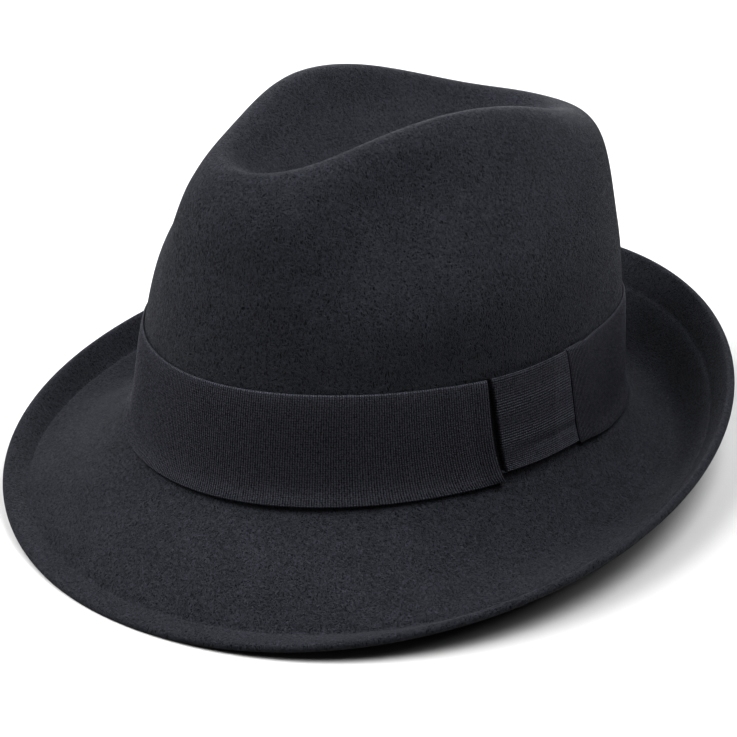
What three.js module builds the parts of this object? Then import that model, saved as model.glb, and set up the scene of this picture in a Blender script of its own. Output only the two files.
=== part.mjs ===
// A felt trilby, laid on a flat surface as it comes to rest.
//
// The hat is one piece of felt, crown and brim, with a ribbon round the foot of the crown.
// Front is -Y, back is +Y, the wearer's left is +X, and up is +Z.
// The origin is on the surface, under the middle of the hat. All sizes are millimetres.
//
// Angles go round the crown in degrees: 0 is the front, 90 the wearer's left, 180 the back.

import * as THREE from 'three';
import { mergeVertices } from 'three/addons/utils/BufferGeometryUtils.js';

const { degToRad, euclideanModulo, lerp, smoothstep } = THREE.MathUtils;

// Felt and ribbon

const feltWall = 2.4;
const edgeRadius = 1.6;
const ribbonWall = 1.0;
const clearance = 0.3;

// Loops round the hat, from its outer edge to the crease along the middle of the crown's dent.
// halfWidth, front and back are a loop's reach from the middle of the head.
// taper narrows the front of a loop and widens its back, as a share of halfWidth.
// heights are above the plane of the head opening, at the angles 0, 45, 90, 135 and 180.
// steps is the number of rows of facets from a loop to the next.

const loops = [
  { name: 'brimEdge', halfWidth: 128.5, front: 140, back: 137, taper: -0.07, steps: 2,
    heights: [-26.5, -15.5, 5.5, 25.5, 34.5] },
  { name: 'edgeValley', halfWidth: 122, front: 133, back: 131.5, taper: -0.05, steps: 2,
    heights: [-23, -17, -2, 16.5, 25] },
  { name: 'brimMiddle', halfWidth: 108, front: 119, back: 118, taper: -0.02, steps: 3,
    heights: [-9.5, -8.5, -7.5, -1.5, 3.5] },
  { name: 'brimRoot', halfWidth: 87.5, front: 104.5, back: 107, taper: 0, steps: 2,
    heights: [2.5, 4.5, 6.5, 4.5, 1] },
  { name: 'crownRoot', halfWidth: 83.5, front: 100.5, back: 103, taper: 0.015, steps: 3,
    heights: [7.5, 9.5, 11.5, 10, 5.5] },
  { name: 'ribbonTop', halfWidth: 78.5, front: 95.5, back: 100, taper: 0.035, steps: 3,
    heights: [45.5, 46.5, 48.5, 49, 43.5] },
  { name: 'waist', halfWidth: 75.5, front: 90.5, back: 96.5, taper: 0.025, steps: 4,
    heights: [76, 76, 76, 75.5, 75.5] },
  { name: 'shoulder', halfWidth: 59, front: 83.5, back: 95, taper: 0.085, steps: 4,
    heights: [104.5, 103, 103.5, 103.5, 105] },
  { name: 'ridge', halfWidth: 37.5, front: 76, back: 91, taper: 0.085, steps: 2,
    heights: [113.5, 118.5, 127.5, 113, 106.5] },
  { name: 'dentWall', halfWidth: 23.5, front: 61.5, back: 74, taper: 0.195, steps: 3,
    heights: [107.5, 110.5, 114, 107, 100] },
  { name: 'dentCrease', halfWidth: 0, front: 42, back: 60, taper: 0, steps: 0,
    heights: [101, 101, 101, 97, 92] },
];
const [crownRoot, ribbonTop, ridge, crease] = ['crownRoot', 'ribbonTop', 'ridge', 'dentCrease']
  .map((name) => loops.findIndex((loop) => loop.name === name));

// The two hollows that a thumb and fingers press into the crown, one on each side of its front.
// slant is how far round a hollow moves back for each millimetre up, in degrees.

const pinch = { depth: 8, angle: 54, angleSpread: 22, slant: 0.4, height: 96, below: 30, above: 26 };

// The bow on the wearer's left, as angles: a turned piece of ribbon, the knot, runs on under
// both ends of the ribbon, which climb on to it. The front end is folded back on itself.
// Towards its foot the whole bow leans to the back, and the knot stands proud between the ends.

const bow = { knotFrom: 66, frontEnd: 72.5, rearEnd: 94.5, knotTo: 100, climb: 6, fold: 5 };
const bowLean = { angle: 3.4, middle: 84, from: 14, to: 48 };
const knotRise = { height: 1.4, from: 73, proud: 74.5, fall: 82, to: 94 };
const foldWall = 2.2;
const knotTrim = { foot: 0.055, top: 0.02 };

// At rest the hat tips back until the front of its edge and the back of its brim both touch.
// It settles a little way, and the felt goes flat where it bears.

const restTip = -6.5;
const restHeight = 12.8;

const columns = 72;
const rollSteps = 4;
const fullTurn = 360;

// A cosine series through the five heights, so that a loop is smooth all the way round.
function heightAt(heights, angle) {
  const last = heights.length - 1;
  let height = 0;
  for (let wave = 0; wave <= last; wave++) {
    let share = 0;
    for (let station = 0; station <= last; station++) {
      const weight = station % last === 0 ? 0.5 : 1;
      share += weight * heights[station] * Math.cos(wave * station * Math.PI / last);
    }
    const scale = wave % last === 0 ? 1 : 2;
    height += scale / last * share * Math.cos(wave * degToRad(angle));
  }
  return height;
}

function loopPoint(loop, angle) {
  const side = Math.sin(degToRad(angle));
  const ahead = Math.cos(degToRad(angle));
  const reach = ahead > 0 ? loop.front : loop.back;
  const x = loop.halfWidth * side * (1 - loop.taper * ahead);
  return new THREE.Vector3(x, -reach * ahead, heightAt(loop.heights, angle));
}

// How far round it is from one angle to another, whichever way is shorter
function angleBetween(angle, other) {
  return Math.abs(euclideanModulo(angle - other + fullTurn / 2, fullTurn) - fullTurn / 2);
}

function pressIn(point, row, angle) {
  const rise = point.z - pinch.height;
  const along = rise / (rise < 0 ? pinch.below : pinch.above);
  const across = (angleBetween(angle, 0) - pinch.angle - pinch.slant * rise) / pinch.angleSpread;
  const outside = 1 - smoothstep(row, ridge, crease);
  const depth = outside * pinch.depth * Math.exp(-across * across - along * along);
  const root = loops[crownRoot];
  const inward = new THREE.Vector3(-Math.sin(degToRad(angle)) / root.halfWidth,
    Math.cos(degToRad(angle)) / root.front, 0);
  return point.addScaledVector(inward.normalize(), depth);
}

// The outer face of the felt. row counts the loops, with the parts of a step between them.
// Each column runs on past the crease to its own mirror image, so the dent has a round floor.
function outerPoint(row, angle) {
  const column = loops.map((loop) => loopPoint(loop, angle));
  const beyond = column[crease - 1].clone();
  beyond.x = -beyond.x;
  const curve = new THREE.CatmullRomCurve3([...column, beyond], false, 'centripetal');
  return pressIn(curve.getPoint(row / loops.length), row, angle);
}

function outwardNormal(row, angle) {
  if (row === crease) return new THREE.Vector3(0, 0, 1);
  const around = outerPoint(row, angle + 0.1).sub(outerPoint(row, angle - 0.1));
  const above = outerPoint(row + 0.01, angle);
  const below = outerPoint(Math.max(row - 0.01, 0), angle);
  return around.cross(above.sub(below)).normalize();
}

// A point off the outer face, outwards where the distance is positive.
function offsetPoint(row, angle, distance) {
  return outerPoint(row, angle).addScaledVector(outwardNormal(row, angle), distance);
}

function rowsBetween(first, last) {
  const rows = [];
  for (let loop = first; loop < last; loop++) {
    for (let step = 0; step < loops[loop].steps; step++) rows.push(loop + step / loops[loop].steps);
  }
  rows.push(last);
  return rows;
}

function layDown(point) {
  point.applyAxisAngle(new THREE.Vector3(1, 0, 0), degToRad(restTip));
  point.z = Math.max(point.z + restHeight, 0);
  return point;
}

// Quads between one list of points and the next, with each quad's outside to the left of its rows.
function addStrip(positions, first, second) {
  for (let i = 0; i + 1 < first.length; i++) {
    for (const point of [first[i], second[i], second[i + 1], first[i], second[i + 1], first[i + 1]]) {
      positions.push(point.x, point.y, point.z);
    }
  }
}

function closedGeometry(positions) {
  const geometry = new THREE.BufferGeometry();
  geometry.setAttribute('position', new THREE.Float32BufferAttribute(positions, 3));
  const merged = mergeVertices(geometry);
  merged.computeVertexNormals();
  return merged;
}

// Crown and brim: down the outer face, round the edge, and back up the inner face
function feltBody() {
  const rows = rowsBetween(0, crease);
  const angles = [];
  for (let column = 0; column <= columns; column++) angles.push(column % columns * fullTurn / columns);

  const rings = rows.toReversed().map((row) => angles.map((angle) => outerPoint(row, angle)));
  for (let step = 1; step < rollSteps; step++) {
    const turn = Math.PI * step / rollSteps;
    rings.push(angles.map((angle) => {
      const middle = offsetPoint(0, angle, -edgeRadius);
      const outward = outerPoint(0, angle).sub(outerPoint(0.01, angle)).normalize();
      const normal = outwardNormal(0, angle);
      middle.addScaledVector(normal, edgeRadius * Math.cos(turn));
      return middle.addScaledVector(outward, edgeRadius * Math.sin(turn));
    }));
  }
  for (const row of rows) {
    const wall = lerp(2 * edgeRadius, feltWall, Math.min(row, 1));
    rings.push(angles.map((angle) => offsetPoint(row, angle, -wall)));
  }

  const positions = [];
  rings.forEach((ring) => ring.forEach(layDown));
  for (let ring = 0; ring + 1 < rings.length; ring++) addStrip(positions, rings[ring], rings[ring + 1]);
  return closedGeometry(positions);
}

function leaned(row, angle) {
  const down = (ribbonTop - row) / (ribbonTop - crownRoot);
  const share = 1 - smoothstep(angleBetween(angle, bowLean.middle), bowLean.from, bowLean.to);
  return angle + bowLean.angle * down * share;
}

// A flat piece of ribbon round the crown: its section at each angle goes up the side that lies
// on the hat and down the side that shows. lift and wall give its seat and thickness there.
function ribbonStrip(rows, angles, lift, wall) {
  const sections = angles.map((angle) => {
    const raised = (distance) => rows.map((row) => offsetPoint(row, leaned(row, angle), distance));
    const seat = raised(lift(angle));
    const face = raised(lift(angle) + wall(angle));
    return { seat: seat.map(layDown), face: face.map(layDown) };
  });

  const positions = [];
  for (let i = 0; i + 1 < sections.length; i++) {
    const ring = [...sections[i].seat, ...sections[i].face.toReversed(), sections[i].seat[0]];
    const next = [...sections[i + 1].seat, ...sections[i + 1].face.toReversed(), sections[i + 1].seat[0]];
    addStrip(positions, next, ring);
  }
  addStrip(positions, sections[0].seat, sections[0].face);
  addStrip(positions, sections.at(-1).face, sections.at(-1).seat);
  return closedGeometry(positions);
}

function anglesBetween(first, last) {
  const pitch = fullTurn / columns;
  const angles = [first];
  for (let angle = Math.ceil(first / pitch + 0.1) * pitch; angle < last; angle += pitch) angles.push(angle);
  angles.push(last);
  return angles;
}

function ribbonBand() {
  const seated = clearance;
  const climbed = clearance + ribbonWall + clearance;
  const start = bow.rearEnd;
  const end = bow.frontEnd + fullTurn;
  const lift = (angle) => {
    const off = smoothstep(angle, bow.knotTo, bow.knotTo + bow.climb);
    const on = smoothstep(angle, bow.knotFrom + fullTurn - bow.climb, bow.knotFrom + fullTurn);
    return lerp(climbed, seated, off - on);
  };
  const wall = (angle) => lerp(ribbonWall, foldWall, smoothstep(angle, end - bow.fold, end));
  return ribbonStrip(rowsBetween(crownRoot, ribbonTop), anglesBetween(start, end), lift, wall);
}

function bowKnot() {
  const rows = rowsBetween(crownRoot, ribbonTop);
  rows[0] += knotTrim.foot;
  rows[rows.length - 1] -= knotTrim.top;
  const angles = [...anglesBetween(bow.knotFrom, knotRise.from),
    ...anglesBetween(knotRise.proud, knotRise.to), bow.knotTo];
  const lift = (angle) => clearance + knotRise.height
    * smoothstep(angle, knotRise.from, knotRise.proud) * (1 - smoothstep(angle, knotRise.fall, knotRise.to));
  return ribbonStrip(rows, angles, lift, () => ribbonWall);
}

const blackFelt = new THREE.MeshStandardMaterial({ color: 0x1f2024, roughness: 0.95, metalness: 0 });
const blackRibbon = new THREE.MeshStandardMaterial({ color: 0x1a1b1f, roughness: 0.8, metalness: 0 });

const hat = new THREE.Group();

function addPiece(name, geometry, material) {
  const mesh = new THREE.Mesh(geometry, material);
  mesh.name = name;
  hat.add(mesh);
}

addPiece('felt_body', feltBody(), blackFelt);
addPiece('ribbon_band', ribbonBand(), blackRibbon);
addPiece('bow_knot', bowKnot(), blackRibbon.clone());

export default hat;
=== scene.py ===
"""The looks of a black felt trilby with a ribbed ribbon, laid on a pale floor."""

import math

import bmesh
import bpy
import numpy as np
from mathutils import Matrix, Vector


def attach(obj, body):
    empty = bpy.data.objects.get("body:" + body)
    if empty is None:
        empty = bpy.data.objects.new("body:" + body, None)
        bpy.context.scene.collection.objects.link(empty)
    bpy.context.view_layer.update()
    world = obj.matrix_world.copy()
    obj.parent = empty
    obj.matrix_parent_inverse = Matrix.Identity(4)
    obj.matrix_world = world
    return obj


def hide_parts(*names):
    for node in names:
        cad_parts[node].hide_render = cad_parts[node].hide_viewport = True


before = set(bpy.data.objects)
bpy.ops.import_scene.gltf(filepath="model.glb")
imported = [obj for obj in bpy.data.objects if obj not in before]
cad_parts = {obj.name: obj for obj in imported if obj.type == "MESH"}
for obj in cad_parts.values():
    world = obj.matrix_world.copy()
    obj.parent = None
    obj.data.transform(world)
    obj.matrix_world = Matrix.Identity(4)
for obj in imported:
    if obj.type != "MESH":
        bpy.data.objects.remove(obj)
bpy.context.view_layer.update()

# Felt body: crown and brim are one piece of wool felt, steamed and blocked to shape, with a
# dent along the top, two finger hollows in front and a line pressed along the brim's edge.
# Front is -Y and the wearer's left +X. Turns go round the crown from the front, in radians.

MM = 0.001
FELT_WALL = 2.4 * MM
EDGE_RADIUS = 1.6 * MM

# Each loop's half width, its reach to the front and back, and its heights at five turns from
# front to back, in millimetres. Taper is how much it narrows towards the front, and rings is
# the number of rings of facets from it to the next loop.
FELT_LOOPS = {
    "brim edge": dict(half_width=128.5, front=140, back=137, taper=-0.07, rings=12,
                      heights=(-26.5, -15.5, 5.5, 25.5, 34.5)),
    "edge valley": dict(half_width=122, front=133, back=131.5, taper=-0.05, rings=20,
                        heights=(-23, -17, -2, 16.5, 25)),
    "brim middle": dict(half_width=108, front=119, back=118, taper=-0.02, rings=11,
                        heights=(-9.5, -8.5, -7.5, -1.5, 3.5)),
    "brim root": dict(half_width=87.5, front=104.5, back=107, taper=0, rings=6,
                      heights=(2.5, 4.5, 6.5, 4.5, 1)),
    "crown root": dict(half_width=83.5, front=100.5, back=103, taper=0.015, rings=10,
                       heights=(7.5, 9.5, 11.5, 10, 5.5)),
    "ribbon top": dict(half_width=78.5, front=95.5, back=100, taper=0.035, rings=12,
                       heights=(45.5, 46.5, 48.5, 49, 43.5)),
    "waist": dict(half_width=75.5, front=90.5, back=96.5, taper=0.025, rings=15,
                  heights=(76, 76, 76, 75.5, 75.5)),
    "shoulder": dict(half_width=59, front=83.5, back=95, taper=0.085, rings=16,
                     heights=(104.5, 103, 103.5, 103.5, 105)),
    "ridge": dict(half_width=37.5, front=76, back=91, taper=0.085, rings=9,
                  heights=(113.5, 118.5, 127.5, 113, 106.5)),
    "dent wall": dict(half_width=23.5, front=61.5, back=74, taper=0.195, rings=9,
                      heights=(107.5, 110.5, 114, 107, 100)),
    "dent crease": dict(half_width=0, front=42, back=60, taper=0, rings=0,
                        heights=(101, 101, 101, 97, 92)),
}
LOOP_NAMES = list(FELT_LOOPS)
CREASE = len(LOOP_NAMES) - 1
EDGE_LINE, CROWN_ROOT, RIBBON_TOP, RIDGE = (
    LOOP_NAMES.index(name) for name in ("edge valley", "crown root", "ribbon top", "ridge"))
PINCH_DEPTH = 8 * MM
PINCH_TURN = math.radians(54)
PINCH_SPREAD = math.radians(22)
PINCH_SLANT = math.radians(0.4) / MM
PINCH_HEIGHT = 96 * MM
PINCH_BELOW = 30 * MM
PINCH_ABOVE = 26 * MM
EDGE_LINE_DEPTH = 1.6 * MM
# How soon the pressed line fades, towards the edge and towards the crown, in loops.
EDGE_LINE_REACH = (0.3, 0.13)
REST_TIP = Matrix.Rotation(math.radians(-6.5), 3, "X")
REST_HEIGHT = 12.8 * MM
FELT_COLUMNS = 240
ROLL_STEPS = 8
TURN_NUDGE = 0.002
ROW_NUDGE = 0.01
CREASE_JOIN = 0.01 * MM


def heights_at(heights, turns):
    """A cosine series through the heights, smooth all the way round."""
    last = len(heights) - 1
    waves = np.arange(last + 1)
    ends = np.where(waves % last == 0, 0.5, 1.0)
    shares = np.cos(np.outer(waves, waves) * math.pi / last) @ (ends * np.array(heights))
    return np.cos(np.outer(turns, waves)) @ (2 / last * ends * shares)


def loop_points(loop, turns):
    side, ahead = np.sin(turns), np.cos(turns)
    reach = np.where(ahead > 0, loop["front"], loop["back"])
    across = loop["half_width"] * side * (1 - loop["taper"] * ahead)
    return np.stack([across, -reach * ahead, heights_at(loop["heights"], turns)], 1) * MM


def smooth(values, low, high):
    """Rises from 0 at low to 1 at high with soft ends, or falls where low is the larger."""
    part = np.clip((values - low) / (high - low), 0, 1)
    return part * part * (3 - 2 * part)


def unit(vectors):
    return vectors / np.linalg.norm(vectors, axis=1, keepdims=True)


def along_curve(before, start, end, after, part):
    """A centripetal Catmull-Rom curve from start to end, for a whole ring of columns."""
    step_before, step, step_after = (
        np.sqrt(np.linalg.norm(b - a, axis=1, keepdims=True))
        for a, b in ((before, start), (start, end), (end, after)))
    leaving = (start - before) / step_before - (end - before) / (step_before + step)
    leaving = (leaving + (end - start) / step) * step
    arriving = (after - end) / step_after - (after - start) / (step + step_after)
    arriving = (arriving + (end - start) / step) * step
    rise = 2 * start - 2 * end + leaving + arriving
    bend = -3 * start + 3 * end - 2 * leaving - arriving
    return ((rise * part + bend) * part + leaving) * part + start


def felt_face(rows, turns):
    """Points on the felt's outer face. rows count the loops, with the parts of a step between."""
    loops = [loop_points(loop, turns) for loop in FELT_LOOPS.values()]
    past_edge = 2 * loops[0] - loops[1]
    past_crease = loops[-2] * [-1, 1, 1]
    columns = np.stack([past_edge, *loops, past_crease])
    rows = np.broadcast_to(rows, turns.shape).astype(float)
    first = np.minimum(rows.astype(int), CREASE - 1)
    before, start, end, after = (columns[first + i, np.arange(len(turns))] for i in range(4))
    points = along_curve(before, start, end, after, (rows - first)[:, None])

    from_line = np.abs(rows - EDGE_LINE) / np.where(rows < EDGE_LINE, *EDGE_LINE_REACH)
    points[:, 2] -= EDGE_LINE_DEPTH * np.exp(-from_line)

    from_front = np.abs((turns + math.pi) % math.tau - math.pi)
    rise = points[:, 2] - PINCH_HEIGHT
    across = (from_front - PINCH_TURN - PINCH_SLANT * rise) / PINCH_SPREAD
    along = rise / np.where(rise < 0, PINCH_BELOW, PINCH_ABOVE)
    outside = 1 - smooth(rows, RIDGE, CREASE)
    depth = outside * PINCH_DEPTH * np.exp(-across**2 - along**2)
    root = FELT_LOOPS["crown root"]
    inward = unit(np.stack([-np.sin(turns) / root["half_width"], np.cos(turns) / root["front"]], 1))
    points[:, :2] += inward * depth[:, None]
    return points


def felt_normals(rows, turns):
    """Normals out of the felt, from its face a nudge to every side."""
    rows = np.broadcast_to(rows, turns.shape).astype(float)
    around = felt_face(rows, turns + TURN_NUDGE) - felt_face(rows, turns - TURN_NUDGE)
    inner = felt_face(np.minimum(rows + ROW_NUDGE, CREASE), turns)
    outer = felt_face(np.maximum(rows - ROW_NUDGE, 0), turns)
    normals = np.cross(around, inner - outer)
    normals[rows == CREASE] = [0, 0, 1]
    return unit(normals)


def lay_down(points):
    """Tips the hat back on to the floor, where the felt goes flat under its weight."""
    laid = points @ np.array(REST_TIP).T
    laid[:, 2] = np.maximum(laid[:, 2] + REST_HEIGHT, 0)
    return laid


def rows_from_edge():
    rows = []
    for i, loop in enumerate(FELT_LOOPS.values()):
        rows += [i + step / loop["rings"] for step in range(loop["rings"])]
    return rows[1:] + [CREASE]


def extrude_ring(bm, edges, place):
    """Extrudes a ring of edges, and places each new vertex by its own turn round the hat."""
    made = bmesh.ops.extrude_edge_only(bm, edges=edges)["geom"]
    verts = [item for item in made if isinstance(item, bmesh.types.BMVert)]
    turn = bm.verts.layers.float["turn"]
    for vert, point in zip(verts, place(np.array([vert[turn] for vert in verts]))):
        vert.co = point
    fresh = set(verts)
    return [item for item in made if isinstance(item, bmesh.types.BMEdge)
            and item.verts[0] in fresh and item.verts[1] in fresh]


def felt_wall(row):
    """The felt's thickness, which grows to the full round edge over the last step of the brim."""
    return 2 * EDGE_RADIUS + (FELT_WALL - 2 * EDGE_RADIUS) * min(row, 1)


def felt_ring(row, depth):
    """A ring of the felt, this deep under its outer face."""
    def place(turns):
        return lay_down(felt_face(row, turns) - felt_normals(row, turns) * depth)
    return place


def edge_ring(angle):
    """A ring of the brim's rounded cut edge, from its upper side at 0 to its underside at pi."""
    def place(turns):
        top, normals = felt_face(0, turns), felt_normals(0, turns)
        outward = unit(top - felt_face(ROW_NUDGE, turns))
        around_edge = normals * math.cos(angle) + outward * math.sin(angle)
        return lay_down(top - normals * EDGE_RADIUS + EDGE_RADIUS * around_edge)
    return place


def put_in_order(bm):
    """Sorts the mesh by place, because extruding leaves it in another order on each run."""
    def corners(item):
        return sorted(vert.index for vert in item.verts)

    sorters = ((bm.verts, lambda vert: vert.co[:]), (bm.edges, corners), (bm.faces, corners))
    for items, sorter in sorters:
        order = {item: i for i, item in enumerate(sorted(items, key=sorter))}
        items.sort(key=order.get)
        items.index_update()


def felt_body_mesh():
    """Starts at the middle of the cut edge, and runs up to the crease outside and inside."""
    bm = bmesh.new()
    bmesh.ops.create_circle(bm, segments=FELT_COLUMNS, radius=1)
    turn = bm.verts.layers.float.new("turn")
    for vert in bm.verts:
        vert[turn] = math.atan2(vert.co.x, -vert.co.y)
    middle = edge_ring(math.pi / 2)(np.array([vert[turn] for vert in bm.verts]))
    for vert, point in zip(bm.verts, middle):
        vert.co = point

    cut_edge = bm.edges[:]
    for upper in (True, False):
        edges = cut_edge
        for step in range(ROLL_STEPS // 2 - 1, -1, -1):
            angle = math.pi * step / ROLL_STEPS
            edges = extrude_ring(bm, edges, edge_ring(angle if upper else math.pi - angle))
        for row in rows_from_edge():
            edges = extrude_ring(bm, edges, felt_ring(row, 0 if upper else felt_wall(row)))
        last_ring = {vert for edge in edges for vert in edge.verts}
        crease = [vert for vert in bm.verts if vert in last_ring]
        bmesh.ops.remove_doubles(bm, verts=crease, dist=CREASE_JOIN)
    put_in_order(bm)
    bmesh.ops.recalc_face_normals(bm, faces=bm.faces[:])
    return bm


def finish_piece(name, bm, material):
    """Puts a mesh in the scene as a smooth piece of the hat."""
    mesh = bpy.data.meshes.new(name)
    bm.to_mesh(mesh)
    bm.free()
    mesh.shade_smooth()
    mesh.materials.append(material)
    piece = bpy.data.objects.new(name, mesh)
    bpy.context.scene.collection.objects.link(piece)
    return piece


class Finish:
    """A material whose nodes are added and joined one at a time."""

    def __init__(self, name):
        self.material = bpy.data.materials.new(name)
        self.material.use_nodes = True
        self.tree = self.material.node_tree
        self.shader = self.tree.nodes["Principled BSDF"]

    def add(self, kind, *in_order, settings=None, **inputs):
        """Adds a node, with a value or a node for each input, given in order or by its name."""
        node = self.tree.nodes.new("ShaderNode" + kind)
        for name, value in (settings or {}).items():
            setattr(node, name, value)
        for socket, value in zip(node.inputs, in_order):
            self.join(socket, value)
        for name, value in inputs.items():
            self.join(node.inputs[name.replace("_", " ")], value)
        return node

    def join(self, socket, value):
        if isinstance(value, bpy.types.Node):
            value = next(output for output in value.outputs if output.enabled)
        if isinstance(value, bpy.types.NodeSocket):
            self.tree.links.new(value, socket)
        else:
            socket.default_value = value

    def maths(self, operation, *values):
        return self.add("Math", *values, settings={"operation": operation})

    def vector_maths(self, operation, *vectors, **inputs):
        return self.add("VectorMath", *vectors, settings={"operation": operation}, **inputs)

    def noise(self, place, scale, detail, roughness=0.5):
        return self.add("TexNoise", Vector=place, Scale=scale, Detail=detail, Roughness=roughness)

    def blend(self, share, dark, pale):
        """The colour between two, by share."""
        mix = self.add("Mix", settings={"data_type": "RGBA"}, Factor=share)
        dark_socket, pale_socket = [socket for socket in mix.inputs if socket.type == "RGBA"]
        dark_socket.default_value = dark
        pale_socket.default_value = pale
        return next(socket for socket in mix.outputs if socket.type == "RGBA")


# The felt's fibres lie in every direction. Three sets of them waver across one another, over
# small clumps and the wide, faint mottling that steaming leaves. Grains count spots a metre.

FIBRE_DIRECTIONS = ((0.3, 0.2, 0.4), (1.7, 0.5, 1.2), (0.9, 1.5, 2.3))
FIBRE_GRAIN = 1250
FIBRE_STRETCH = (1, 1, 0.35)
FIBRE_WIDTH = 0.16
DRIFT_GRAIN = 260
DRIFT = 2 * MM
CLUMP_GRAIN = 900
MOTTLE_GRAIN = 70
FIBRE_SHARE = 0.5
CLUMP_SHARE = 0.5
MOTTLE_SHARE = 0.12
FELT_TONES = (0.46, 0.8)
FELT_DARK = (0.0008, 0.0009, 0.0014, 1)
FELT_PALE = (0.0195, 0.0205, 0.0265, 1)
FELT_ROUGHNESS = (1, 0.66)
FELT_NAP = 0.9 * MM

felt = Finish("black_wool_felt")
on_felt = felt.add("TexCoord").outputs["Object"]
drift = felt.noise(on_felt, DRIFT_GRAIN, detail=2).outputs["Color"]
drift = felt.vector_maths("SUBTRACT", drift, (0.5, 0.5, 0.5))
drift = felt.vector_maths("SCALE", drift, Scale=DRIFT)
wavering = felt.vector_maths("ADD", on_felt, drift)
fibres = None
for direction in FIBRE_DIRECTIONS:
    lay = felt.add("Mapping", Vector=wavering, Rotation=direction, Scale=FIBRE_STRETCH)
    strand = felt.noise(lay, FIBRE_GRAIN, detail=1.5).outputs["Fac"]
    strand = felt.maths("ABSOLUTE", felt.maths("SUBTRACT", strand, 0.5))
    strand = felt.add("MapRange", Value=strand, From_Max=FIBRE_WIDTH, To_Min=1, To_Max=0)
    fibres = felt.maths("MAXIMUM", fibres, strand) if fibres else strand
clumps = felt.noise(on_felt, CLUMP_GRAIN, detail=3, roughness=0.7).outputs["Fac"]
mottle = felt.noise(on_felt, MOTTLE_GRAIN, detail=2).outputs["Fac"]
mottle = felt.maths("SUBTRACT", mottle, 0.5)
nap = felt.maths("ADD", felt.maths("MULTIPLY", fibres, FIBRE_SHARE),
                 felt.maths("MULTIPLY", clumps, CLUMP_SHARE))
tone = felt.maths("ADD", nap, felt.maths("MULTIPLY", mottle, MOTTLE_SHARE))
tone = felt.add("MapRange", Value=tone, From_Min=FELT_TONES[0], From_Max=FELT_TONES[1])
roughness = felt.add("MapRange", Value=tone, To_Min=FELT_ROUGHNESS[0], To_Max=FELT_ROUGHNESS[1])
felt.join(felt.shader.inputs["Base Color"], felt.blend(tone, FELT_DARK, FELT_PALE))
felt.join(felt.shader.inputs["Roughness"], roughness)
felt.join(felt.shader.inputs["Normal"], felt.add("Bump", Height=nap, Strength=1, Distance=FELT_NAP))
felt.shader.inputs["Specular IOR Level"].default_value = 0.24
felt.shader.inputs["Specular Tint"].default_value = (0.84, 0.88, 1, 1)
felt.shader.inputs["Sheen Weight"].default_value = 0.02
felt.shader.inputs["Sheen Roughness"].default_value = 0.35

felt_body = finish_piece("wool_felt_body", felt_body_mesh(), felt.material)
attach(felt_body, "root")
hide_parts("felt_body")

# Ribbon band: woven ribbed ribbon, stitched round the foot of the crown with its ribs upright.
# Its front end is folded under and stands off the bow, and its rear end lies on the bow.
# Turns here are in degrees, and places across the ribbon run from 0 at its foot to 1 at its top.

RIBBON_WALL = 0.8 * MM
RIBBON_CLEARANCE = 0.3 * MM
RIBBON_WIDTH = 39 * MM
RIB_PITCH = 0.85 * MM
RIB_DEPTH = 0.07 * MM
SELVEDGE = 0.7 * MM
BLUNT_END = 0.02
CLOTH_JOIN = 0.001 * MM
FACE_STEPS = 12
RIM_STEPS = 4
BACK_STEPS = 4
SAMPLES_PER_RIB = 4
LENGTH_STEP = 0.25
ACROSS_NUDGE = 0.1

BAND_REAR_TURN = 94.4
BAND_REAR_LEAN = 3.4
BAND_REAR_CURVE = 0.75
BAND_FRONT_TURN = 72.1 + 360
BAND_FRONT_LEAN = 3.5
BAND_FRONT_HOOK = 0.55
LEAN_REACH = 40
BAND_FOLD_WALL = 2.2 * MM
BAND_FOLD_LENGTH = 8 * MM
# Painted shade: the band is black up to the first of these distances from its front end, and its
# full colour from the second.
PAINTED_FOLD_SHADE = (0.1 * MM, 0.5 * MM)
# The turns that the knot lies between, and how the band climbs on to it at both ends.
KNOT_TURNS = (66, 100)
KNOT_CLIMB = 6
BAND_CLIMBED = 0.45 * MM + RIBBON_WALL
# The band's foot flares away from the bow, and hangs a little low but for its rear end, where
# it is raised. Its top is drawn in.
FOOT_REACH = 14
FOOT_FLARE = 0.7 * MM
FLARED_UNDER = 0.2
BAND_DROP = 1.5 * MM
DROPPED_UNDER = 0.3
REAR_RAISED = 0.3
TOP_TUCK = 0.2 * MM
TUCKED_ABOVE = 0.85


def rounded_rim(middle, radius, side):
    """The rounded edge of the cloth at its top, or at its foot where side is -1."""
    angles = [math.pi * i / RIM_STEPS for i in range(1, RIM_STEPS)]
    return [(middle + side * radius * math.sin(angle), 0.5 + side * 0.5 * math.cos(angle),
             max(side * math.cos(angle), 0)) for angle in angles]


def band_section():
    """Once round the section: the place across, the height in the thickness, and 1 outside."""
    rim = SELVEDGE / RIBBON_WIDTH
    flat = 1 - 2 * rim
    points = [(rim + flat * i / FACE_STEPS, 1, 1) for i in range(FACE_STEPS + 1)]
    points += rounded_rim(1 - rim, rim, 1)
    points += [(1 - rim - flat * i / BACK_STEPS, 0, 0) for i in range(BACK_STEPS + 1)]
    points += rounded_rim(rim, rim, -1)
    return np.array(points + points[:1])


def on_crown(across, turns, lift):
    """Points this far above the felt, on the part of the crown that the ribbon covers."""
    rows = CROWN_ROOT + np.clip(across, 0, 1) * (RIBBON_TOP - CROWN_ROOT)
    turns = np.radians(turns)
    return lay_down(felt_face(rows, turns) + felt_normals(rows, turns) * lift[:, None])


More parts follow.
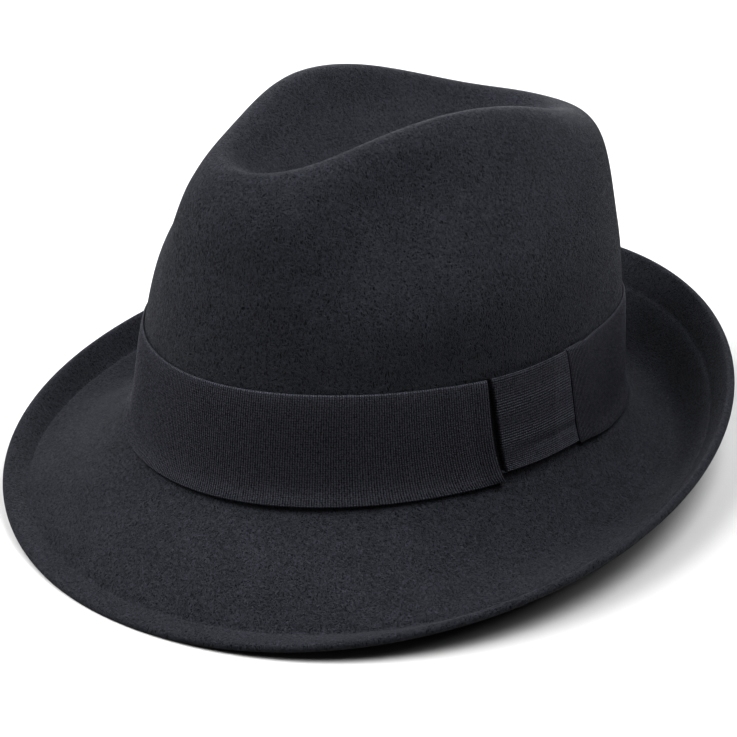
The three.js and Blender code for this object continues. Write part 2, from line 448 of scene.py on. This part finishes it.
def cloth_loop_mesh(columns, around, place, measure, paint_slot_light):
    """A band of cloth, closed round its section and at both ends, with its measures as UVs and its
    painted shade on its points.
    """
    bm = bmesh.new()
    bmesh.ops.create_grid(bm, x_segments=columns, y_segments=around, size=0.5)
    places = np.array([vert.co[:2] for vert in bm.verts])
    steps = np.rint((places + 0.5) * [columns, around]).astype(int)
    for vert, point in zip(bm.verts, place(steps[:, 0], steps[:, 1])):
        vert.co = point
    # Painted shade: 1 keeps the cloth's colour, 0 paints it black where it goes in between folds.
    painted_slot_light = bm.verts.layers.float.new("painted_slot_light")
    for vert, share in zip(bm.verts, paint_slot_light(steps[:, 0], steps[:, 1])):
        vert[painted_slot_light] = share
    bm.verts.index_update()
    uv = bm.loops.layers.uv.new("cloth")
    measures = measure(steps[:, 0], steps[:, 1])
    for face in bm.faces:
        for loop in face.loops:
            loop[uv].uv = measures[loop.vert.index]
    bmesh.ops.remove_doubles(bm, verts=bm.verts[:], dist=CLOTH_JOIN)
    ends = [edge for edge in bm.edges if edge.is_boundary]
    bmesh.ops.holes_fill(bm, edges=ends, sides=0)
    bmesh.ops.recalc_face_normals(bm, faces=bm.faces[:])
    return bm


def nose(distance, radius):
    """The share of the full thickness that is left this close to a rounded end."""
    return np.sqrt(np.maximum(1 - np.clip(1 - distance / radius, 0, 1)**2, BLUNT_END))


def rear_lean(down):
    """How far the band's rear end lies behind its top, this far down the ribbon."""
    return BAND_REAR_LEAN * down**BAND_REAR_CURVE


def front_lean(down):
    """How far the band's front end lies behind its top, which grows faster towards its foot."""
    return BAND_FRONT_LEAN * ((1 - BAND_FRONT_HOOK) * down + BAND_FRONT_HOOK * down**3)


band_loop = band_section()
fine_turns = np.arange(BAND_REAR_TURN, BAND_FRONT_TURN, LENGTH_STEP)
halfway_up = np.full(len(fine_turns), 0.5)
middle_line = on_crown(halfway_up, fine_turns, np.full(len(fine_turns), RIBBON_WALL))
fine_steps = np.linalg.norm(np.diff(middle_line, axis=0), axis=1)
fine_lengths = np.concatenate([[0], np.cumsum(fine_steps)])
band_length = fine_lengths[-1]
band_columns = round(band_length / RIB_PITCH) * SAMPLES_PER_RIB


def band_place(column, point):
    """The band's points, by their column along it and their place round its section."""
    along = column / band_columns * band_length
    to_end = band_length - along
    across, height, outer = band_loop[point].T
    base = np.interp(along, fine_lengths, fine_turns)
    past_rear = smooth(base, BAND_REAR_TURN, BAND_REAR_TURN + FOOT_REACH)
    past_front = smooth(base, BAND_FRONT_TURN - FOOT_REACH, BAND_FRONT_TURN)
    down = 1 - across
    turns = base + rear_lean(down) * (1 - smooth(base, BAND_REAR_TURN, BAND_REAR_TURN + LEAN_REACH))
    turns += front_lean(down) * smooth(base, BAND_FRONT_TURN - LEAN_REACH, BAND_FRONT_TURN)

    on_knot = 1 - smooth(base, KNOT_TURNS[1], KNOT_TURNS[1] + KNOT_CLIMB)
    on_knot += smooth(base, KNOT_TURNS[0] + 360 - KNOT_CLIMB, KNOT_TURNS[0] + 360)
    seat = RIBBON_CLEARANCE + (BAND_CLIMBED - RIBBON_CLEARANCE) * on_knot
    seat += FOOT_FLARE * smooth(across, FLARED_UNDER, 0) * past_rear * (1 - past_front)
    seat -= TOP_TUCK * smooth(across, TUCKED_ABOVE, 1)
    wall = RIBBON_WALL + (BAND_FOLD_WALL - RIBBON_WALL) * (1 - smooth(to_end, 0, BAND_FOLD_LENGTH))
    share = nose(to_end, BAND_FOLD_WALL / 2) * nose(along, RIBBON_WALL / 2)
    lift = seat + wall * (0.5 + (height - 0.5) * share)
    lift += outer * RIB_DEPTH * share * np.cos(math.tau * column / SAMPLES_PER_RIB)
    points = on_crown(across, turns, lift)

    hang = points - on_crown(across + ACROSS_NUDGE, turns, lift)
    hang *= BAND_DROP / np.maximum(np.linalg.norm(hang, axis=1, keepdims=True), MM)
    hanging = smooth(across, DROPPED_UNDER, 0) * ((1 + REAR_RAISED) * past_rear - REAR_RAISED)
    return points + hang * hanging[:, None]


def band_measure(column, point):
    return np.stack([column / SAMPLES_PER_RIB * RIB_PITCH, band_loop[point, 0] * RIBBON_WIDTH], 1)


def band_painted_slot_light(column, point):
    """Painted shade: black right at the front end, where the fold faces the knot."""
    return smooth(band_length * (1 - column / band_columns), *PAINTED_FOLD_SHADE)


# The ribs are thick cords under fine silky threads. Each thread dips between its neighbours, so
# a rib looks like a row of beads, and the woven edges are a little paler than the rest. Where the
# cloth goes in between two folds, at the band's front end and the knot's edge, painted shade turns
# it black.

THREAD_PITCH = 0.8 * MM
THREAD_DIP = 0.6
WAVER_GRAIN = 900
RIB_WAVER = 2.6
THREAD_WAVER = 9
SPECKLE_GRAIN = 1900
WEAVE_SHARE = 0.4
SPECKLE_SHARE = 0.95
EDGE_SHARE = 0.12
WOVEN_EDGE = (1.3 * MM, 0.9 * MM)
RIBBON_TONES = (0.35, 0.92)
RIBBON_DARK = (0.0006, 0.0006, 0.0008, 1)
RIBBON_PALE = (0.039, 0.04, 0.05, 1)
RIBBON_ROUGHNESS = (1, 0.45)
WEAVE_DEPTH = 0.2 * MM

ribbon = Finish("black_ribbed_ribbon")
cloth = ribbon.add("UVMap", settings={"uv_map": "cloth"})
cloth = ribbon.add("SeparateXYZ", cloth)
along_ribbon, up_ribbon = cloth.outputs["X"], cloth.outputs["Y"]
on_ribbon = ribbon.add("TexCoord").outputs["Object"]
waver = ribbon.noise(on_ribbon, WAVER_GRAIN, detail=2).outputs["Fac"]
waver = ribbon.maths("SUBTRACT", waver, 0.5)


def rows_of_thread(place, pitch, wandering):
    """Rows at this pitch, from 0 between them to 1 on them, with a little wandering."""
    turn = ribbon.maths("ADD", ribbon.maths("MULTIPLY", place, math.tau / pitch),
                        ribbon.maths("MULTIPLY", waver, wandering))
    return ribbon.add("MapRange", Value=ribbon.maths("COSINE", turn), From_Min=-1)


ribs = rows_of_thread(along_ribbon, RIB_PITCH, RIB_WAVER)
beads = rows_of_thread(up_ribbon, THREAD_PITCH, THREAD_WAVER)
beads = ribbon.maths("ADD", ribbon.maths("MULTIPLY", beads, THREAD_DIP), 1 - THREAD_DIP)
woven = ribbon.maths("MULTIPLY", ribs, beads)
speckle = ribbon.noise(on_ribbon, SPECKLE_GRAIN, detail=2).outputs["Fac"]
shade = ribbon.maths("ADD", ribbon.maths("MULTIPLY", woven, WEAVE_SHARE),
                     ribbon.maths("MULTIPLY", speckle, SPECKLE_SHARE))
shade = ribbon.add("MapRange", Value=shade, From_Min=RIBBON_TONES[0], From_Max=RIBBON_TONES[1])
from_middle = ribbon.maths("ABSOLUTE", ribbon.maths("SUBTRACT", up_ribbon, RIBBON_WIDTH / 2))
edge = ribbon.add("MapRange", Value=from_middle, From_Min=RIBBON_WIDTH / 2 - WOVEN_EDGE[0],
                  From_Max=RIBBON_WIDTH / 2 - WOVEN_EDGE[1])
shade = ribbon.maths("ADD", shade, ribbon.maths("MULTIPLY", edge, EDGE_SHARE))
# Painted shade from the cloth's points: black in the slot between the band's front end and the
# knot.
painted_slot_light = ribbon.add("Attribute", settings={"attribute_name": "painted_slot_light"}).outputs["Fac"]
shade = ribbon.maths("MULTIPLY", shade, painted_slot_light)
gloss = ribbon.add("MapRange", Value=shade, To_Min=RIBBON_ROUGHNESS[0], To_Max=RIBBON_ROUGHNESS[1])
weave = ribbon.add("Bump", Height=woven, Strength=0.8, Distance=WEAVE_DEPTH)
ribbon.join(ribbon.shader.inputs["Base Color"], ribbon.blend(shade, RIBBON_DARK, RIBBON_PALE))
ribbon.join(ribbon.shader.inputs["Roughness"], gloss)
ribbon.join(ribbon.shader.inputs["Normal"], weave)
ribbon.shader.inputs["Specular IOR Level"].default_value = 0.18
ribbon.shader.inputs["Specular Tint"].default_value = (0.86, 0.88, 1, 1)

band = finish_piece("woven_ribbon_band", cloth_loop_mesh(
    band_columns, len(band_loop) - 1, band_place, band_measure, band_painted_slot_light), ribbon.material)
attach(band, "root")
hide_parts("ribbon_band")

# Bow knot: a short piece of the same ribbon with its ribs level, that the band's ends lie over.
# It bulges out between the two ends, and a shallow wrinkle runs across it near the foot.

KNOT_FOOT = 0.075
KNOT_RIBS = 42
KNOT_TURN_STEP = 0.25
KNOT_EDGE_TURN = 72.35
KNOT_EDGE_LEAN = 3.5
KNOT_EDGE_CURVE = 0.8
KNOT_EDGE_WIDTH = 0.5
# Painted shade: the knot is black up to the first of these turns past the band's front end, and its
# full colour from the second.
PAINTED_KNOT_EDGE_SHADE = (0.1, 0.6)
KNOT_REAR_WIDTH = 0.6
KNOT_BULGE = 1.6 * MM
# Towards the rear the knot lies lower. Its slope there leans with the ends of the band.
KNOT_REAR_SHARE = 0.62
KNOT_SLOPE_TURNS = (82, 92)
KNOT_SLOPE_LEAN = 2
WRINKLE_ACROSS = 0.3
WRINKLE_DEPTH = 0.5 * MM
WRINKLE_WIDTH = 0.045
WRINKLE_TURNS = (76, 90)
CROWN_RADIUS = 90 * MM

knot_columns = round((KNOT_TURNS[1] - KNOT_TURNS[0]) / KNOT_TURN_STEP)
knot_face = KNOT_RIBS * SAMPLES_PER_RIB


def knot_section():
    """Once round the section: the place across the ribbon, and 1 outside."""
    points = [(KNOT_FOOT + (1 - KNOT_FOOT) * i / knot_face, 1) for i in range(knot_face + 1)]
    points += [(1 - (1 - KNOT_FOOT) * i / BACK_STEPS, 0) for i in range(BACK_STEPS + 1)]
    return np.array(points + points[:1])


knot_loop = knot_section()


def knot_edge(down):
    """The turn at which the knot comes out from behind the band's front end."""
    return KNOT_EDGE_TURN + KNOT_EDGE_LEAN * down**KNOT_EDGE_CURVE


def knot_place(column, point):
    """The knot's points, by their column round the crown and their place round its section."""
    base = KNOT_TURNS[0] + column * KNOT_TURN_STEP
    across, outer = knot_loop[point].T
    down = 1 - across
    edge = knot_edge(down)
    rear = BAND_REAR_TURN + rear_lean(down)
    slope = smooth(base - KNOT_SLOPE_LEAN * down, *KNOT_SLOPE_TURNS)
    rise = smooth(base, edge, edge + KNOT_EDGE_WIDTH) * (1 - (1 - KNOT_REAR_SHARE) * slope)
    rise *= 1 - smooth(base, rear - KNOT_REAR_WIDTH, rear)
    to_fold = np.minimum(across - KNOT_FOOT, 1 - across) * RIBBON_WIDTH
    share = nose(to_fold, RIBBON_WALL)
    lift = RIBBON_CLEARANCE + KNOT_BULGE * rise + RIBBON_WALL * (0.5 + (outer - 0.5) * share)
    wrinkle = np.exp(-((across - WRINKLE_ACROSS) / WRINKLE_WIDTH)**2)
    lift -= WRINKLE_DEPTH * wrinkle * smooth(base, *WRINKLE_TURNS) * rise
    lift += outer * share * RIB_DEPTH * np.cos(math.tau * point / SAMPLES_PER_RIB)
    return on_crown(across, base, lift)


def knot_measure(column, point):
    across_ribs = knot_loop[point, 0] * KNOT_RIBS * RIB_PITCH
    return np.stack([across_ribs, column * math.radians(KNOT_TURN_STEP) * CROWN_RADIUS], 1)


def knot_painted_slot_light(column, point):
    """Painted shade: black where the knot goes in behind the band's front end."""
    base = KNOT_TURNS[0] + column * KNOT_TURN_STEP
    edge = knot_edge(1 - knot_loop[point, 0])
    return smooth(base - edge, *PAINTED_KNOT_EDGE_SHADE)


knot = finish_piece("bow_knot_ribbon", cloth_loop_mesh(
    knot_columns, len(knot_loop) - 1, knot_place, knot_measure, knot_painted_slot_light), ribbon.material)
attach(knot, "root")
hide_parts("bow_knot")

# Floor, light and camera: a pale studio table under round soft lights. Three stand behind the
# hat, three in front on its right, and one is low behind it, for the bright line on its ridge.

FLOOR_HALF_WIDTH = 4
FLOOR_GREY = 0.33
WORLD_LIGHT = 0.05
VIEW_GAMMA = 0.8

floor_mesh = bpy.data.meshes.new("floor")
bm = bmesh.new()
bmesh.ops.create_grid(bm, x_segments=1, y_segments=1, size=FLOOR_HALF_WIDTH)
bm.to_mesh(floor_mesh)
bm.free()
floor = bpy.data.objects.new("floor", floor_mesh)
bpy.context.scene.collection.objects.link(floor)
pale = Finish("pale_floor")
pale.shader.inputs["Base Color"].default_value = (FLOOR_GREY, FLOOR_GREY, FLOOR_GREY, 1)
pale.shader.inputs["Roughness"].default_value = 0.7
floor_mesh.materials.append(pale.material)

world = bpy.data.worlds.new("studio")
world.use_nodes = True
world.node_tree.nodes["Background"].inputs["Color"].default_value = (1, 1, 1, 1)
world.node_tree.nodes["Background"].inputs["Strength"].default_value = WORLD_LIGHT
bpy.context.scene.world = world
bpy.context.scene.view_settings.view_transform = "Standard"
bpy.context.scene.view_settings.gamma = VIEW_GAMMA

# Each lamp's turn from the front and its height, in degrees, its width in metres, and its watts.
LAMPS = {
    "back_left_high": (120, 64, 0.9, 31),
    "back_left_middle": (118, 38, 0.6, 7),
    "back_high": (150, 60, 0.9, 8),
    "front_high": (-30, 62, 0.9, 19),
    "right_high": (-68, 62, 0.9, 15),
    "front_middle": (-60, 40, 0.6, 21),
    "back_rim": (-140, 8, 0.6, 10),
}
LAMP_AIM = Vector((0, 0, 0.06))
LAMP_DISTANCE = 1.4


def way_to(turn, height):
    """The direction from the hat, by a turn from the front and a height, in radians."""
    level = math.cos(height)
    return Vector((math.sin(turn) * level, -math.cos(turn) * level, math.sin(height)))


for name, (turn, height, width, watts) in LAMPS.items():
    towards_lamp = way_to(math.radians(turn), math.radians(height))
    lamp = bpy.data.lights.new(name, "AREA")
    lamp.shape = "DISK"
    lamp.size = width
    lamp.energy = watts
    light = bpy.data.objects.new(name, lamp)
    light.location = LAMP_AIM + towards_lamp * LAMP_DISTANCE
    light.rotation_euler = towards_lamp.to_track_quat("Z", "Y").to_euler()
    bpy.context.scene.collection.objects.link(light)

VIEW_TURN = math.radians(44.1)
VIEW_HEIGHT = math.radians(27.5)
VIEW_ROLL = math.radians(-3.3)
VIEW_DISTANCE = 0.8807
VIEW_TARGET = Vector((-0.0005, -0.0032, 0.0348))

towards_camera = way_to(VIEW_TURN, VIEW_HEIGHT)
camera = bpy.data.objects.new("camera", bpy.data.cameras.new("camera"))
camera.data.lens = 116.3
camera.data.sensor_width = 36
camera.data.clip_start = 0.05
turned = towards_camera.to_track_quat("Z", "Y") @ Matrix.Rotation(VIEW_ROLL, 3, "Z").to_quaternion()
camera.matrix_world = Matrix.LocRotScale(VIEW_TARGET + towards_camera * VIEW_DISTANCE, turned, None)
bpy.context.scene.collection.objects.link(camera)
bpy.context.scene.camera = camera
